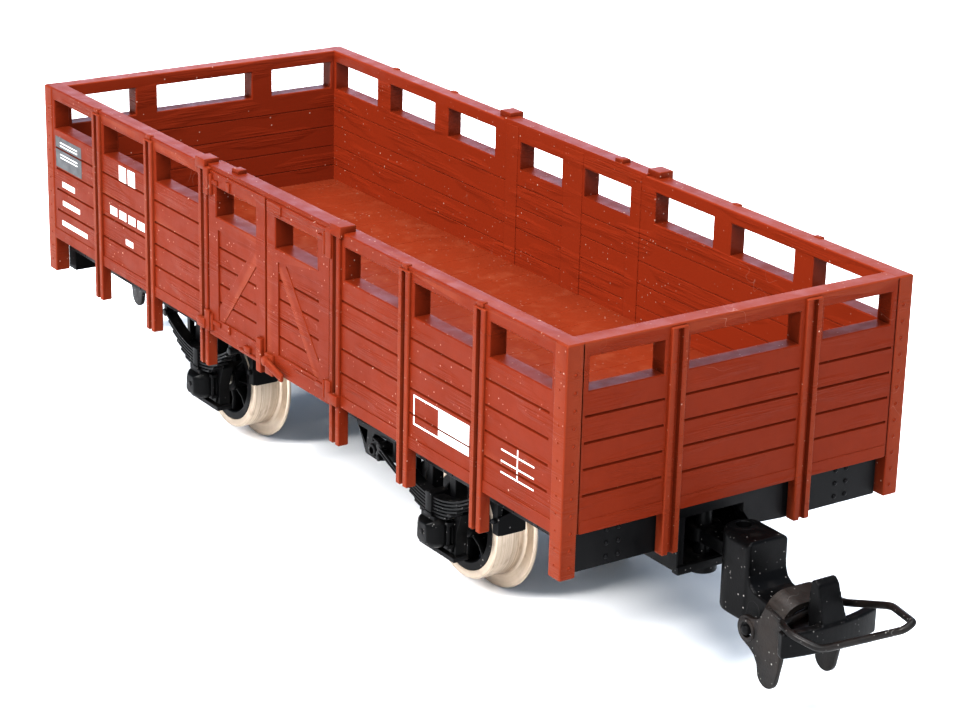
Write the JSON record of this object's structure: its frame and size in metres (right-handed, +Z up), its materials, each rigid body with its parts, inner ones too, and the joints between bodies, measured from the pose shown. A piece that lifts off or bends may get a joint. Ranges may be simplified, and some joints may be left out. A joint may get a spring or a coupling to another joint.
{
  "type": "model open wagon",
  "caption": "Two-axle narrow-gauge model open goods wagon with high planked sides, a vented top row, moulded doors, spoked wheels and hook-and-loop couplers.",
  "frame": {"origin": "under the middle of the wagon, level with the lowest point of the wheel flanges", "axes": "+X along the wagon towards its front coupler, +Y to its left side, +Z up"},
  "size_m": [0.1026, 0.0272, 0.0244],
  "materials": {
    "body_plastic": "red-brown moulded plastic, satin, fine wood grain",
    "chassis_plastic": "black moulded plastic, satin",
    "tyre_metal": "turned nickel-plated metal",
    "steel": "plain turned steel",
    "loop_metal": "chemically blackened sheet and wire, brown sheen"
  },
  "bodies": {
    "wagon": {"side_wall_right": "body_plastic", "side_wall_left": "body_plastic", "end_wall_front": "body_plastic", "end_wall_rear": "body_plastic", "load_floor": "body_plastic", "underframe": "chassis_plastic", "ballast_weight": "steel", "axle_guard_front_right": "chassis_plastic", "brake_shoe_front_outer_right": "chassis_plastic", "brake_shoe_front_inner_right": "chassis_plastic", "axle_guard_rear_right": "chassis_plastic", "brake_shoe_rear_outer_right": "chassis_plastic", "brake_shoe_rear_inner_right": "chassis_plastic", "brake_linkage_right": "chassis_plastic", "axle_guard_front_left": "chassis_plastic", "brake_shoe_front_outer_left": "chassis_plastic", "brake_shoe_front_inner_left": "chassis_plastic", "axle_guard_rear_left": "chassis_plastic", "brake_shoe_rear_outer_left": "chassis_plastic", "brake_shoe_rear_inner_left": "chassis_plastic", "brake_linkage_left": "chassis_plastic", "coupler_box_front": "chassis_plastic", "coupler_pivot_screw_front": "steel", "coupler_box_rear": "chassis_plastic", "coupler_pivot_screw_rear": "steel"},
    "wheelset_front": {"axle_front": "steel", "tyre_front_right": "tyre_metal", "wheel_centre_front_right": "chassis_plastic", "tyre_front_left": "tyre_metal", "wheel_centre_front_left": "chassis_plastic"},
    "coupler_front": {"coupler_arm_front": "chassis_plastic", "loop_pin_front": "steel"},
    "loop_front": {"loop_bracket_front": "loop_metal", "loop_wire_front": "loop_metal"},
    "wheelset_rear": {"axle_rear": "steel", "tyre_rear_right": "tyre_metal", "wheel_centre_rear_right": "chassis_plastic", "tyre_rear_left": "tyre_metal", "wheel_centre_rear_left": "chassis_plastic"},
    "coupler_rear": {"coupler_arm_rear": "chassis_plastic", "loop_pin_rear": "steel"},
    "loop_rear": {"loop_bracket_rear": "loop_metal", "loop_wire_rear": "loop_metal"}
  },
  "joints": [
    {"name": "wheelset_front_spin", "type": "hinge", "parent": "wagon", "child": "wheelset_front", "pos_m": [0.01616, 0, 0.00509], "axis": [0, 1, 0], "continuous": true},
    {"name": "coupler_front_swing", "type": "hinge", "parent": "wagon", "child": "coupler_front", "pos_m": [0.0319, 0, 0.0087], "axis": [0, 0, 1], "range_deg": [-20, 20]},
    {"name": "loop_front_lift", "type": "hinge", "parent": "coupler_front", "child": "loop_front", "pos_m": [0.0396, 0, 0.00545], "axis": [0, -1, 0], "range_deg": [0, 40]},
    {"name": "wheelset_rear_spin", "type": "hinge", "parent": "wagon", "child": "wheelset_rear", "pos_m": [-0.01616, 0, 0.00509], "axis": [0, 1, 0], "continuous": true},
    {"name": "coupler_rear_swing", "type": "hinge", "parent": "wagon", "child": "coupler_rear", "pos_m": [-0.0319, 0, 0.0087], "axis": [0, 0, 1], "range_deg": [-20, 20]},
    {"name": "loop_rear_lift", "type": "hinge", "parent": "coupler_rear", "child": "loop_rear", "pos_m": [-0.0396, 0, 0.00545], "axis": [0, 1, 0], "range_deg": [0, 40]}
  ]
}
